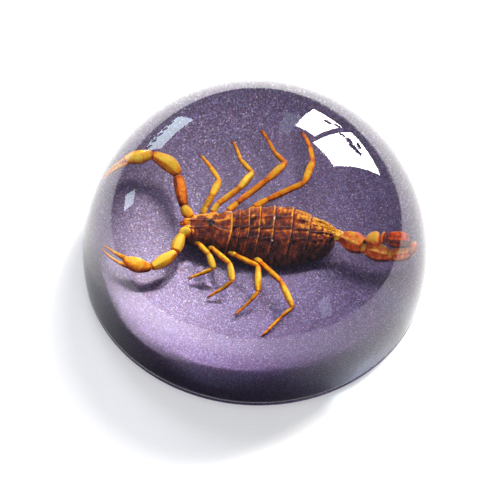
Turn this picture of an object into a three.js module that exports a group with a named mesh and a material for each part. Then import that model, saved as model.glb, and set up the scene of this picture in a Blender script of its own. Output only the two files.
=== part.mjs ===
// A scorpion paperweight: a clear cast-resin dome on a thin backing of purple glitter resin.
// Millimetres, +Z up, origin at the middle of the flat underside.
import * as THREE from 'three';

// Driving dimensions
const DOME_RADIUS = 40; // radius of the casting mould's hemisphere
const SHOULDER_HEIGHT = 3.5; // height of the sphere's centre, where the side turns upright
const BACKING_THICKNESS = 1.5; // purple glitter pour that closes the mould
const EDGE_ROUNDING = 0.5; // polished corner round the underside

// Facets
const SIDES = 80; // round the axis, a multiple of four so that the widths are exact
const DOME_STEPS = 30; // from the shoulder to the crown
const ROUNDING_STEPS = 4;

// Radius of the sphere at a height above the underside.
function sphereRadius(height) {
  return Math.sqrt(DOME_RADIUS ** 2 - (height - SHOULDER_HEIGHT) ** 2);
}

// Points of a circular arc in the radius-height plane, between two angles measured from outwards.
function arcPoints(centreRadius, centreHeight, radius, startAngle, endAngle, steps) {
  return Array.from({ length: steps + 1 }, (_, step) => {
    const angle = startAngle + ((endAngle - startAngle) * step) / steps;
    return new THREE.Vector2(
      centreRadius + radius * Math.cos(angle),
      centreHeight + radius * Math.sin(angle),
    );
  });
}

// A solid of revolution about +Z from a profile that starts and ends on the axis.
function turnedSolid(profile) {
  const geometry = new THREE.LatheGeometry(profile, SIDES);
  geometry.rotateX(Math.PI / 2); // the lathe turns about Y, the part stands on Z
  return geometry;
}

// The crown's last point sits exactly on the axis, so the dome closes in one vertex.
function clearDomeProfile() {
  const side = arcPoints(0, SHOULDER_HEIGHT, DOME_RADIUS, 0, Math.PI / 2, DOME_STEPS);
  side.pop();
  return [
    new THREE.Vector2(0, BACKING_THICKNESS),
    new THREE.Vector2(sphereRadius(BACKING_THICKNESS), BACKING_THICKNESS),
    ...side,
    new THREE.Vector2(0, SHOULDER_HEIGHT + DOME_RADIUS),
  ];
}

// The backing fills the bottom of the same mould, and its lower corner is rounded.
function glitterBackingProfile() {
  const roundingCentre = sphereRadius(EDGE_ROUNDING) - EDGE_ROUNDING;
  return [
    new THREE.Vector2(0, 0),
    ...arcPoints(roundingCentre, EDGE_ROUNDING, EDGE_ROUNDING, -Math.PI / 2, 0, ROUNDING_STEPS),
    new THREE.Vector2(sphereRadius(BACKING_THICKNESS), BACKING_THICKNESS),
    new THREE.Vector2(0, BACKING_THICKNESS),
  ];
}

function clearDome() {
  const resin = new THREE.MeshStandardMaterial({
    color: 0xf6f4fa,
    roughness: 0.03,
    metalness: 0,
    transparent: true,
    opacity: 0.25,
  });
  const mesh = new THREE.Mesh(turnedSolid(clearDomeProfile()), resin);
  mesh.name = 'clear_dome';
  return mesh;
}

function glitterBacking() {
  const glitter = new THREE.MeshStandardMaterial({
    color: 0x6a5588,
    roughness: 0.4,
    metalness: 0.2,
  });
  const mesh = new THREE.Mesh(turnedSolid(glitterBackingProfile()), glitter);
  mesh.name = 'glitter_backing';
  return mesh;
}

const paperweight = new THREE.Group();
paperweight.add(glitterBacking(), clearDome());

export default paperweight;
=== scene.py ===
# %% [markdown]
# # A scorpion cast in a resin dome
#
# The object is a desk weight: a clear dome of polyester resin, a little more than half a ball,
# with a dried scorpion sealed inside it above a thin purple backing full of glitter. The dome is
# also a strong lens. It magnifies the specimen, throws a bright smile of light on the glitter
# and mirrors the windows of the room. So nearly all of the look comes from getting three things
# right: a true sphere of true resin, fine glitter at its real size, and a specimen with real
# relief. This lesson builds them in that order. Everything is in metres, with +Z up.

import math

import bmesh
import bpy
import numpy as np
from mathutils import Matrix, Vector


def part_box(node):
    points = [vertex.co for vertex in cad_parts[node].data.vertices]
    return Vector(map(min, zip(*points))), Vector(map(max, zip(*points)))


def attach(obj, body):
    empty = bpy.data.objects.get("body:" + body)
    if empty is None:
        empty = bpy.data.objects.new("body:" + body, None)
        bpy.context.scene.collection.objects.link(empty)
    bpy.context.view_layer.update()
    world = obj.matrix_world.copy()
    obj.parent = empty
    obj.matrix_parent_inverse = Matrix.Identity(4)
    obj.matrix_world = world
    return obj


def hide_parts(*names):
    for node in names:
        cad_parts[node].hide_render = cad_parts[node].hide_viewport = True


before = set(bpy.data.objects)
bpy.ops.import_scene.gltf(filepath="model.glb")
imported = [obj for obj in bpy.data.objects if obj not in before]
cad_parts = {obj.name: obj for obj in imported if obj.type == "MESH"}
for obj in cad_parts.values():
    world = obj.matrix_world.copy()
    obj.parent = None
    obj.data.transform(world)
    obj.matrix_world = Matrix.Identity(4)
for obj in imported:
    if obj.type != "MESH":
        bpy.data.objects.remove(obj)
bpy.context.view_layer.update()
MM = 0.001

# %% [markdown]
# ## Measures of the casting
#
# The mould is a polished hemisphere, so one radius and one centre describe the whole outside.
# They are read back from the two fixed solids: the dome's widest circle gives the radius, and
# its crown stands one radius above the centre.

# %% Read the radius, the centre and the backing's height from the frame
dome_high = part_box("clear_dome")[1]
RADIUS = dome_high.x
CENTRE_HEIGHT = dome_high.z - RADIUS
BACKING_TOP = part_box("glitter_backing")[1].z
print("radius", round(RADIUS / MM, 2), "mm, centre at", round(CENTRE_HEIGHT / MM, 2), "mm")


def sphere_radius(height):
    """Radius of the mould at a height above the underside."""
    return math.sqrt(RADIUS**2 - (height - CENTRE_HEIGHT) ** 2)


# %% [markdown]
# ## Small tools for shapes
#
# `new_mesh` makes a plain mesh from points and faces and turns its faces outwards. `turned`
# spins a profile round the Z axis, as a lathe does. Both poles are single points, so the skin
# is closed and smooth, which matters for a lens.

# %% Make a mesh, and turn a profile
MERGE_DISTANCE = 0.0001 * MM


def put_in_scene(name, data):
    """An object with that mesh, light or camera, in the scene."""
    placed = bpy.data.objects.new(name, data)
    bpy.context.scene.collection.objects.link(placed)
    return placed


def raw_mesh(name, points, edges, faces, values):
    """A mesh straight from its points, edges and faces, with named values on its points."""
    mesh = bpy.data.meshes.new(name)
    mesh.from_pydata([tuple(point) for point in points], edges, faces)
    for attribute, numbers in (values or {}).items():
        mesh.attributes.new(attribute, "FLOAT", "POINT").data.foreach_set("value", numbers)
    return mesh


def new_mesh(name, points, faces, smooth=True, values=None):
    """A plain mesh object, with merged doubles and outward faces."""
    mesh = raw_mesh(name, points, [], faces, values)
    shape = bmesh.new()
    shape.from_mesh(mesh)
    bmesh.ops.remove_doubles(shape, verts=shape.verts, dist=MERGE_DISTANCE)
    bmesh.ops.recalc_face_normals(shape, faces=shape.faces)
    shape.to_mesh(mesh)
    shape.free()
    mesh.polygons.foreach_set("use_smooth", [smooth] * len(mesh.polygons))
    return put_in_scene(name, mesh)


def tube_faces(rings, sides):
    """Faces of a closed tube: a pole, rings of points, a pole."""
    faces = []
    last = rings * sides + 1
    top = 1 + (rings - 1) * sides
    for side in range(sides):
        after = (side + 1) % sides
        faces.append((0, 1 + after, 1 + side))
        for ring in range(rings - 1):
            low, high = 1 + ring * sides, 1 + (ring + 1) * sides
            faces.append((low + side, low + after, high + after, high + side))
        faces.append((last, top + side, top + after))
    return faces


def turned(name, profile, sides):
    """A solid of revolution about Z. The profile's first and last points lie on the axis."""
    around = [2 * math.pi * side / sides for side in range(sides)]
    points = [(0, 0, profile[0][1])]
    for radius, height in profile[1:-1]:
        points += [(radius * math.cos(turn), radius * math.sin(turn), height) for turn in around]
    points.append((0, 0, profile[-1][1]))
    return new_mesh(name, points, tube_faces(len(profile) - 2, sides))


# %% [markdown]
# ## Small tools for materials
#
# Colours are chosen as sRGB hex, because that is how a swatch is read, and Blender's shaders
# want linear light, so one function turns the one into the other. `add` puts one node into a
# tree, with its own settings, and `fill` sets or links its inputs. `mottled` is the plainest
# finish: one material whose colour wanders a little between swatches, as any real surface does.

# %% Colours, nodes and plain finishes
def linear(swatch):
    """Linear RGBA from an sRGB hex string such as '6a5588'."""
    steps = [int(swatch[place : place + 2], 16) / 255 for place in (0, 2, 4)]
    light = [step / 12.92 if step <= 0.04045 else ((step + 0.055) / 1.055) ** 2.4 for step in steps]
    return (*light, 1.0)


def socket(sockets, name):
    """The socket of that place or name which is in use: some nodes keep one for each data type."""
    if isinstance(name, int):
        return sockets[name]
    return next(found for found in sockets if found.enabled and found.name == name)


def fill(tree, node, inputs):
    """Fill a node's inputs, each with a number, a colour, a node, or (node, "output name")."""
    for name, value in inputs.items():
        target = socket(node.inputs, name)
        if isinstance(value, bpy.types.Node):
            tree.links.new(next(out for out in value.outputs if out.enabled), target)
        elif isinstance(value, tuple) and isinstance(value[0], bpy.types.Node):
            tree.links.new(socket(value[0].outputs, value[1]), target)
        else:
            target.default_value = value


def add(tree, kind, inputs=None, stops=(), **settings):
    """One node, with its settings, its inputs and the stops of a colour ramp."""
    node = tree.nodes.new(kind)
    for name, value in settings.items():
        setattr(node, name, value)
    fill(tree, node, inputs or {})
    for number, (place, swatch) in enumerate(stops):
        points = node.color_ramp.elements
        point = points[number] if number < 2 else points.new(place)
        point.position, point.color = place, linear(swatch)
    return node


def new_material(name, **shader_values):
    """A material with one Principled shader, and that shader's plain values."""
    material = bpy.data.materials.new(name)
    material.use_nodes = True
    shader = material.node_tree.nodes["Principled BSDF"]
    for key, value in shader_values.items():
        label = key.replace("_", " ").title().replace("Ior", "IOR")
        shader.inputs[label].default_value = linear(value) if isinstance(value, str) else value
    return material, material.node_tree, shader


def mottled(name, grain, stops, **shader_values):
    """A material whose colour wanders between swatches over patches of that size."""
    material, tree, shader = new_material(name, **shader_values)
    where = add(tree, "ShaderNodeTexCoord")
    noise = add(tree, "ShaderNodeTexNoise", {"Vector": (where, "Object"), "Scale": 1 / grain})
    colour = add(tree, "ShaderNodeValToRGB", {"Fac": (noise, "Fac")}, stops)
    fill(tree, shader, {"Base Color": colour})
    return material


def finish_piece(piece, material, replaces=None):
    """Give a piece its material, fix it to the casting and hide the part that it replaces."""
    if material is not None:
        piece.data.materials.clear()
        piece.data.materials.append(material)
    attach(piece, "root")
    if replaces:
        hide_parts(replaces)


# %% [markdown]
# ## The camera
#
# The weight is seen from in front and well above, at arm's length, with a long lens, so that
# the sphere's outline stays nearly round. The camera looks at the sphere's centre. A small turn
# about its own axis lays the specimen's tail a little lower than its head.

# %% Place the camera
VIEW_ELEVATION = math.radians(53.8)
VIEW_ROLL = math.radians(3.1)
VIEW_DISTANCE = 400 * MM
SENSOR_WIDTH = 36.0
FOCAL_LENGTH = 123.55
AIM_LEFT, AIM_UP = 1.19 * MM, 0.28 * MM

towards_camera = Vector((0, -math.cos(VIEW_ELEVATION), math.sin(VIEW_ELEVATION)))
turn = (-towards_camera).to_track_quat("-Z", "Y").to_matrix().to_4x4()
turn = turn @ Matrix.Rotation(VIEW_ROLL, 4, "Z")
place = Vector((0, 0, CENTRE_HEIGHT)) + towards_camera * VIEW_DISTANCE
place += turn.to_3x3() @ Vector((-AIM_LEFT, AIM_UP, 0))
camera = put_in_scene("camera", bpy.data.cameras.new("camera"))
camera.data.lens = FOCAL_LENGTH
camera.data.sensor_width = SENSOR_WIDTH
camera.matrix_world = Matrix.Translation(place) @ turn
bpy.context.scene.camera = camera
print("camera at", [round(value, 3) for value in place])

# %% [markdown]
# ## The light
#
# A clear dome is lit by what it mirrors and by what it gathers. A tall window stands behind it
# on the right, in two panes with a thin bar between them, and small dim panes stand on the left
# and in front. The polished skin mirrors those. The light that it gathers comes mostly from the
# bright sky high behind it: it bends down through the resin and meets in a bright smile on the
# near left of the glitter. So there are two sorts of patch. `gathered=False` is a pane that is
# only mirrored, and `mirrored=False` is sky that only lights what lies inside. All of them are
# area lights that the camera doesn't see, and a plain grey room fills the rest.

# %% Hang the windows and the sky
WINDOW_DISTANCE = 1.0
PANE_WHITE, SKY_WHITE, SKY_BLUE, GARDEN_BLUE = "fffdf8", "fffaf2", "f4f8ff", "cfe4ec"


def window(name, azimuth, elevation, radiance, swatch, mirrored=True, gathered=True):
    """A pane facing the dome. Angles are (start, end) in degrees, azimuth from +Y to +X."""
    middle = math.radians(sum(azimuth) / 2)
    half_turn = math.radians(azimuth[1] - azimuth[0]) / 2
    low, high = (WINDOW_DISTANCE * math.tan(math.radians(angle)) for angle in elevation)
    pane = bpy.data.lights.new(name, "AREA")
    pane.shape = "RECTANGLE"
    pane.size = 2 * WINDOW_DISTANCE * math.tan(half_turn)
    pane.size_y = high - low
    pane.energy = radiance * math.pi * pane.size * pane.size_y
    pane.color = linear(swatch)[:3]
    outwards = Vector((math.sin(middle), math.cos(middle), 0))
    place = outwards * WINDOW_DISTANCE + Vector((0, 0, (low + high) / 2))
    light = put_in_scene(name, pane)
    light.matrix_world = Matrix.Translation(place) @ (-outwards).to_track_quat("-Z", "Y").to_matrix().to_4x4()
    light.visible_camera = False
    light.visible_glossy = mirrored
    light.visible_transmission = gathered


window("window_near_pane", (31.4, 51.5), (3, 37), 20.0, PANE_WHITE, gathered=False)
window("window_far_pane", (17, 28.8), (6, 31), 20.0, PANE_WHITE, gathered=False)
window("sky_behind", (24, 36), (42, 47), 90.0, SKY_WHITE, mirrored=False)
window("sky_above", (12, 36), (47, 52), 44.0, SKY_WHITE, mirrored=False)
window("sky_right", (36, 48), (30, 42), 24.0, SKY_WHITE, mirrored=False)
window("sky_low", (15, 32), (26, 36), 1.2, SKY_WHITE, mirrored=False)
window("sky_left", (-25, 0), (52, 62), 13.0, SKY_BLUE, mirrored=False)
window("room_front", (100, 150), (50, 66), 2.0, "ffffff", mirrored=False)
window("window_haze", (10, 17), (20, 42), 1.4, "c8dcf0")
window("left_window", (-46, -27.5), (0.8, 14.5), 6.5, GARDEN_BLUE)
window("left_slit", (-73.5, -66), (0.8, 8.5), 6.5, GARDEN_BLUE)
window("front_window", (132, 139), (1, 13), 1.5, "c8e0f0")

ROOM_LIGHT = 0.21
room = bpy.data.worlds.new("plain_room")
room.use_nodes = True
room.node_tree.nodes["Background"].inputs["Color"].default_value = linear("eceffa")
room.node_tree.nodes["Background"].inputs["Strength"].default_value = ROOM_LIGHT
bpy.context.scene.world = room
bpy.context.scene.view_settings.view_transform = "Standard"
bpy.context.scene.cycles.blur_glossy = 0.0
bpy.context.scene.cycles.sample_clamp_indirect = 0.0
print(len(bpy.data.lights), "lights")

# %% [markdown]
# ## Plants on the window sills
#
# House plants stand in front of the panes, and the dome mirrors them as small dark leaves at the
# panes' low edges. Each leaf is a flat pointed oval that faces the dome. Only mirrored light
# meets them, so they cast no shadow and no view shows them directly.

# %% Set the leaves
LEAF_DISTANCE = 0.95
LEAF_CORNERS = 16
LEAF_MOTTLE = 20 * MM
LEAVES = (
    # azimuth, elevation, length, width and lean, in degrees
    (24.8, 11.2, 4.6, 3.6, -35),
    (28.0, 8.2, 4.2, 3.4, -40),
    (32.8, 12.6, 3.2, 3.6, 10),
    (36.0, 11.4, 4.6, 5.0, -15),
    (39.6, 12.8, 5.0, 6.0, 20),
    (42.6, 11.6, 3.4, 4.4, 0),
    (38.6, 7.2, 7.0, 2.6, 50),
    (-31.6, 2.0, 3.4, 3.0, 60),
    (-34.6, 2.8, 3.6, 2.4, 100),
    (-37.8, 3.0, 5.0, 2.4, 70),
    (-40.8, 3.4, 4.2, 2.6, 110),
    (-44.0, 3.0, 5.2, 2.6, 80),
)


def leaf_outline(azimuth, elevation, length, width, lean):
    """Corners of one leaf, with both ends of its length drawn out to points."""
    middle = Vector((math.sin(azimuth), math.cos(azimuth), math.tan(elevation))) * LEAF_DISTANCE
    sideways = Vector((math.cos(azimuth), -math.sin(azimuth), 0))
    upwards = Vector((0, 0, 1))
    for corner in range(LEAF_CORNERS):
        angle = 2 * math.pi * corner / LEAF_CORNERS
        reach = length / 2 * LEAF_DISTANCE * math.cos(angle)
        breadth = width / 2 * LEAF_DISTANCE * math.sin(angle) ** 3
        across = reach * math.cos(lean) - breadth * math.sin(lean)
        rise = reach * math.sin(lean) + breadth * math.cos(lean)
        yield middle + sideways * across + upwards * rise


def seen_only_in_mirrors(piece):
    """Let only mirrored rays meet a piece."""
    piece.visible_camera = piece.visible_diffuse = False
    piece.visible_transmission = piece.visible_shadow = False


leaf_points = [point for leaf in LEAVES for point in leaf_outline(*(math.radians(angle) for angle in leaf))]
leaf_starts = range(0, len(leaf_points), LEAF_CORNERS)
leaf_faces = [tuple(range(start, start + LEAF_CORNERS)) for start in leaf_starts]
leaves = new_mesh("sill_leaves", leaf_points, leaf_faces, smooth=False)
# House plant leaf: a dull grey green, almost black against the bright pane behind it.
leaf_green = mottled("house_plant_leaf", LEAF_MOTTLE, [(0.3, "23281f"), (0.7, "384034")], roughness=0.6)
leaves.data.materials.append(leaf_green)
seen_only_in_mirrors(leaves)
print(len(leaf_faces), "leaves")

# %% [markdown]
# ## The floor
#
# The weight stands on one sheet of white card. The card's far edges matter, because the rim of
# the dome mirrors them: that is the pale ring with a crisp inner edge. Under the card lies a
# grey table, so that low views don't look into nothing. A lamp that only reaches the card, and
# that only the card could shade, keeps it white. A black flag lies just above the card, and only
# the resin mirrors it: it is a painted shadow, standing in the mirror for the shadow that the dome
# would cast on the floor in front, and it darkens the dome's near foot. Its cover fades out with
# distance, so the dark crescent has a soft edge.

# %% Lay the card on a table
CARD_LEFT, CARD_RIGHT = -135 * MM, 140 * MM
CARD_FRONT, CARD_BACK = -300 * MM, 215 * MM
CARD_THICKNESS = 0.4 * MM
CARD_TOOTH = 0.4 * MM
TABLE_LEFT, TABLE_RIGHT = -165 * MM, 175 * MM
TABLE_FRONT, TABLE_BACK = -340 * MM, 300 * MM
TABLE_THICKNESS = 20 * MM
TABLE_SPECKLE = 1 * MM


def slab(name, x_range, y_range, z_range):
    """A plain box between two corners."""
    corners = [(x, y, z) for z in z_range for y in y_range for x in x_range]
    faces = [(0, 1, 3, 2), (4, 6, 7, 5), (0, 4, 5, 1), (1, 5, 7, 3), (3, 7, 6, 2), (2, 6, 4, 0)]
    return new_mesh(name, corners, faces, smooth=False)


card = slab("white_card", (CARD_LEFT, CARD_RIGHT), (CARD_FRONT, CARD_BACK), (-CARD_THICKNESS, 0))
table_layer = (-TABLE_THICKNESS, -CARD_THICKNESS)
table = slab("table", (TABLE_LEFT, TABLE_RIGHT), (TABLE_FRONT, TABLE_BACK), table_layer)
# Matt white card: no gloss at all, and a tooth too fine to see. It gives an even white ground.
card_white = mottled("matt_white_card", CARD_TOOTH, [(0.3, "f6f6f8"), (0.7, "fbfbfc")], roughness=0.8)
card.data.materials.append(card_white)
# Grey laminate: a dull speckled dark, so that the card ends in a quiet border.
table_grey = mottled("grey_laminate", TABLE_SPECKLE, [(0.3, "38393d"), (0.7, "424347")], roughness=0.6)
table.data.materials.append(table_grey)

# %% Lay the black flag, a painted shadow seen only in mirrors
FLAG_INNER, FLAG_OUTER = RADIUS + 0.2 * MM, 110 * MM
FLAG_HEIGHT = 0.2 * MM
FLAG_MIDDLE = (-10 * MM, -50 * MM, 0)
FLAG_DARK, FLAG_CLEAR = 12 * MM, 65 * MM
FLAG_SIDES = 96

flag_points, flag_faces = [], []
for side in range(FLAG_SIDES):
    angle = 2 * math.pi * side / FLAG_SIDES
    for radius in (FLAG_INNER, FLAG_OUTER):
        flag_points.append((radius * math.cos(angle), radius * math.sin(angle), FLAG_HEIGHT))
    after = (side + 1) % FLAG_SIDES
    flag_faces.append((2 * side, 2 * side + 1, 2 * after + 1, 2 * after))
shadow_flag = new_mesh("painted_shadow_flag", flag_points, flag_faces, smooth=False)
# Black velvet, a painted shadow: it swallows nearly all light where the mirrored floor would lie in the
# dome's shadow.
shadow_velvet, tree, shader = new_material(
    "painted_shadow_velvet", base_color="0c0c10", roughness=1.0, specular_ior_level=0.0
)
where = add(tree, "ShaderNodeTexCoord")
reach = add(tree, "ShaderNodeVectorMath", {0: (where, "Object"), 1: FLAG_MIDDLE}, operation="DISTANCE")
fade_out = {"From Min": FLAG_DARK, "From Max": FLAG_CLEAR, "To Min": 1.0, "To Max": 0.0}
shadow_cover = add(
    tree, "ShaderNodeMapRange", {"Value": (reach, "Value"), **fade_out}, interpolation_type="SMOOTHSTEP"
)
fill(tree, shader, {"Alpha": (shadow_cover, "Result")})
shadow_flag.data.materials.append(shadow_velvet)
seen_only_in_mirrors(shadow_flag)

# %% Hang the lamp over the card
LAMP_SIZE, LAMP_POWER = 1.0, 10.0
LAMP_PLACE = (-0.5, 0.2, 1.2)

lamp = put_in_scene("card_lamp", bpy.data.lights.new("card_lamp", "AREA"))
lamp.data.size = LAMP_SIZE
lamp.data.energy = LAMP_POWER
lamp.location = LAMP_PLACE
lamp.visible_camera = lamp.visible_glossy = lamp.visible_transmission = False
lit_by_lamp = bpy.data.collections.new("lit_by_card_lamp")
lit_by_lamp.objects.link(card)
lamp.light_linking.receiver_collection = lit_by_lamp
lamp.light_linking.blocker_collection = lit_by_lamp
print("card of", round((CARD_RIGHT - CARD_LEFT) / MM), "by", round((CARD_BACK - CARD_FRONT) / MM), "mm")

# %% [markdown]
# ## Clear casting resin
#
# Polyester casting resin is see-through, with an index of refraction near 1.55, and it comes
# out of a polished mould with no grain. A few centimetres of it swallow a little light, most
# of it yellow-green, which leaves the faintest violet cast. The skin is a very fine lathe, as
# any facet would show as a kink in the magnified specimen. The dome's lower end sinks a tenth
# of a millimetre into the opaque backing and draws in there, so that no two skins coincide.

# %% Turn the dome and pour the resin
DOME_SIDES = 256
DOME_RINGS = 110
SKIRT_SINK = 0.12 * MM
SKIRT_DRAW = 0.3 * MM
RESIN_IOR = 1.55
RESIN_CAST = linear("efeaf8")
RESIN_DENSITY = 3.0

lowest = math.asin((BACKING_TOP - CENTRE_HEIGHT) / RADIUS)
crown = [lowest + (math.pi / 2 - lowest) * ring / DOME_RINGS for ring in range(DOME_RINGS)]
skirt = (sphere_radius(BACKING_TOP) - SKIRT_DRAW, BACKING_TOP - SKIRT_SINK)
dome_profile = [(0, skirt[1]), skirt]
dome_profile += [(RADIUS * math.cos(angle), CENTRE_HEIGHT + RADIUS * math.sin(angle)) for angle in crown]
dome_profile.append((0, CENTRE_HEIGHT + RADIUS))
dome = turned("resin_dome", dome_profile, DOME_SIDES)

# Clear polyester resin: it bends light hard at its skin, mirrors a little and hides nothing.
clear_resin, tree, _ = new_material(
    "clear_polyester_resin", base_color="ffffff", transmission_weight=1.0, roughness=0.0, ior=RESIN_IOR
)
absorption = add(tree, "ShaderNodeVolumeAbsorption", {"Color": RESIN_CAST, "Density": RESIN_DENSITY})
fill(tree, tree.nodes["Material Output"], {"Volume": absorption})
finish_piece(dome, clear_resin, replaces="clear_dome")
print("dome faces", len(dome.data.polygons))

# %% [markdown]
# ## Purple glitter resin
#
# The backing is the same resin loaded with purple pearl pigment and fine glitter until it is
# opaque. Close up it is a bed of tiny mirrors, each with its own tilt and its own tint. The bed
# is drawn with two sets of cells: pearl of 0.12 mm and, over about a fifth of it, glitter of
# 0.15 mm. Real pearl is finer still, but would blur into one flat tone. Each cell gets a random
# tint and tips the surface its own way, so it flashes or goes dark as its tilt meets the light.
# Mica pearl also has a soft white sheen over its purple, and a broad coat layer gives that: the
# smile of light comes out nearly white, and the rest stays violet.

# %% Turn the backing
BACKING_SIDES = 256
EDGE_ROUNDING = 0.5 * MM
ROUNDING_STEPS = 6

rounding_centre = sphere_radius(EDGE_ROUNDING) - EDGE_ROUNDING
backing_profile = [(0, 0)]
for step in range(ROUNDING_STEPS + 1):
    angle = -math.pi / 2 + math.pi / 2 * step / ROUNDING_STEPS
    across = rounding_centre + EDGE_ROUNDING * math.cos(angle)
    backing_profile.append((across, EDGE_ROUNDING + EDGE_ROUNDING * math.sin(angle)))
for share in (1.0, 0.98, 0.8, 0.6, 0.4, 0.2, 0.0):
    backing_profile.append((sphere_radius(BACKING_TOP) * share, BACKING_TOP))
backing = turned("glitter_layer", backing_profile, BACKING_SIDES)

# %% Mix the glitter resin
PEARL_CELL, GLITTER_CELL = 0.12 * MM, 0.15 * MM
PEARL_TILT, GLITTER_TILT = 0.24, 0.3
PEARL_METAL, GLITTER_METAL = 0.15, 0.9
PEARL_SHARE = 0.78
PEARL_TINTS = [(0.0, "2c123d"), (0.35, "3b1c52"), (0.6, "4c2964"), (0.85, "5d3d77"), (1.0, "6f558b")]
GLITTER_TINTS = [(0.0, "8e83ad"), (0.3, "5a64a2"), (0.55, "956498"), (0.8, "766998"), (1.0, "b1a6bb")]
PEARL_SHEEN = {"coat_weight": 0.3, "coat_roughness": 0.5, "coat_ior": 2.2}

# Purple pearl and glitter resin: deep violet, sparkling, with a silky whitish sheen.
glitter_resin, tree, shader = new_material("purple_glitter_resin", roughness=0.5, **PEARL_SHEEN)
where = add(tree, "ShaderNodeTexCoord")


def cell_bed(cell, tint_die, tints, tilt):
    """A bed of cells: three dice for each cell, its tint, and how it leans."""
    cells = add(tree, "ShaderNodeTexVoronoi", {"Vector": (where, "Object"), "Scale": 1 / cell})
    dice = add(tree, "ShaderNodeSeparateColor", {"Color": (cells, "Color")})
    tint = add(tree, "ShaderNodeValToRGB", {"Fac": (dice, tint_die)}, tints)
    lean = {0: (cells, "Color"), 1: (0.5, 0.5, 0.5)}
    lean = add(tree, "ShaderNodeVectorMath", lean, operation="SUBTRACT")
    lean = add(tree, "ShaderNodeVectorMath", {0: lean, "Scale": tilt}, operation="SCALE")
    return dice, tint, lean


_, pearl_tint, pearl_lean = cell_bed(PEARL_CELL, "Red", PEARL_TINTS, PEARL_TILT)
glitter_dice, glitter_tint, glitter_lean = cell_bed(GLITTER_CELL, "Green", GLITTER_TINTS, GLITTER_TILT)
threshold = {0: (glitter_dice, "Red"), 1: PEARL_SHARE}
is_glitter = add(tree, "ShaderNodeMath", threshold, operation="GREATER_THAN")
tints = {"Factor": is_glitter, "A": (pearl_tint, "Color"), "B": (glitter_tint, "Color")}
tint = add(tree, "ShaderNodeMix", tints, data_type="RGBA")
leans = {"Factor": is_glitter, "A": pearl_lean, "B": glitter_lean}
lean = add(tree, "ShaderNodeMix", leans, data_type="VECTOR")
surface = add(tree, "ShaderNodeNewGeometry")
tipped = add(tree, "ShaderNodeVectorMath", {0: (surface, "Normal"), 1: lean}, operation="ADD")
tipped = add(tree, "ShaderNodeVectorMath", {0: tipped}, operation="NORMALIZE")
metal = add(tree, "ShaderNodeMapRange", {0: is_glitter, "To Min": PEARL_METAL, "To Max": GLITTER_METAL})
fill(tree, shader, {"Base Color": tint, "Normal": tipped, "Metallic": metal})
finish_piece(backing, glitter_resin, replaces="glitter_backing")
print("backing faces", len(backing.data.polygons))

# %% [markdown]
# ## Growing things with Geometry Nodes
#
# Flakes, granules, comb teeth and the legs are all "the same thing again, along a surface or a
# path", which is what Geometry Nodes are for. Each tree below has named inputs and fixed seeds.
# `strew` is what flakes and granules share: copies of one shape, scattered by chance. `grow`
# runs a tree on a source object and keeps the result as a plain mesh, so nothing live is left.

# %% Start a tree, strew copies, and grow it
def node_tree(name, sizes):
    """A Geometry Nodes tree with a geometry input and output and one named input for each size."""
    tree = bpy.data.node_groups.new(name, "GeometryNodeTree")
    tree.interface.new_socket("Geometry", in_out="INPUT", socket_type="NodeSocketGeometry")
    for size, kind in sizes.items():
        tree.interface.new_socket(size, in_out="INPUT", socket_type="NodeSocket" + kind)
    tree.interface.new_socket("Geometry", in_out="OUTPUT", socket_type="NodeSocketGeometry")
    return tree, tree.nodes.new("NodeGroupInput")


def close_tree(tree, source, given):
    """Realize what the tree has made, give it the material and send it out."""
    real = add(tree, "GeometryNodeRealizeInstances", {"Geometry": source})
    painted = add(tree, "GeometryNodeSetMaterial", {"Geometry": real, "Material": (given, "Material")})
    add(tree, "NodeGroupOutput", {"Geometry": painted})


def die(tree, low, high, seed, **settings):
    """A random value for each copy."""
    return add(tree, "FunctionNodeRandomValue", {"Min": low, "Max": high, "Seed": seed}, **settings)


def strew(tree, given, shape, sizes, mark, marks, seed, only=None, pose=None):
    """Scatter copies of a shape, each with its own size and its own value under the name mark."""
    area = {"Mesh": (given, "Geometry"), "Density": (given, "Density"), "Seed": (given, "Seed")}
    spots = add(tree, "GeometryNodeDistributePointsOnFaces", area | (only or {}))
    copies = {"Points": (spots, "Points"), "Instance": shape, "Scale": die(tree, *sizes, seed)}
    copies = add(tree, "GeometryNodeInstanceOnPoints", copies | (pose or {}))
    marked = {"Geometry": copies, "Name": mark, "Value": die(tree, *marks, seed + 1)}
    marked = add(tree, "GeometryNodeStoreNamedAttribute", marked, domain="INSTANCE")
    close_tree(tree, marked, given)


def grow(name, source, tree, sizes):
    """Run a tree on a source object and keep the result as a plain mesh object."""
    modifier = source.modifiers.new(name, "NODES")
    modifier.node_group = tree
    for item in tree.interface.items_tree:
        if item.in_out == "INPUT" and item.name in sizes:
            modifier[item.identifier] = sizes[item.name]
    source.update_tag()
    evaluated = source.evaluated_get(bpy.context.evaluated_depsgraph_get())
    mesh = bpy.data.meshes.new_from_object(evaluated)
    source.modifiers.remove(modifier)
    return put_in_scene(name, mesh)


# %% [markdown]
# ## Loose glitter
#
# On the real casting the coarsest glitter settles at the top of the purple pour. These flakes
# are cut from metallised film as tiny hexagons, so they are real meshes here: thousands of
# six-sided flakes, scattered on the backing, each one tipped and tinted by chance.

# %% Scatter the flakes
FLAKE_RADIUS = 0.07 * MM
FLAKES_PER_SQUARE_MM = 6.0
FLAKE_TILT = math.radians(12)
FLAKE_SIZES = (0.45, 1.25)
FLAKE_TINTS = [
    (0.0, "938cb3"),
    (0.3, "606ca5"),
    (0.55, "855e92"),
    (0.8, "6b5c93"),
    (0.93, "9e99b7"),
    (1.0, "d2d0da"),
]
BED_EDGE = 0.6 * MM
BED_LIFT = 0.01 * MM
BED_SIDES = 64

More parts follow.
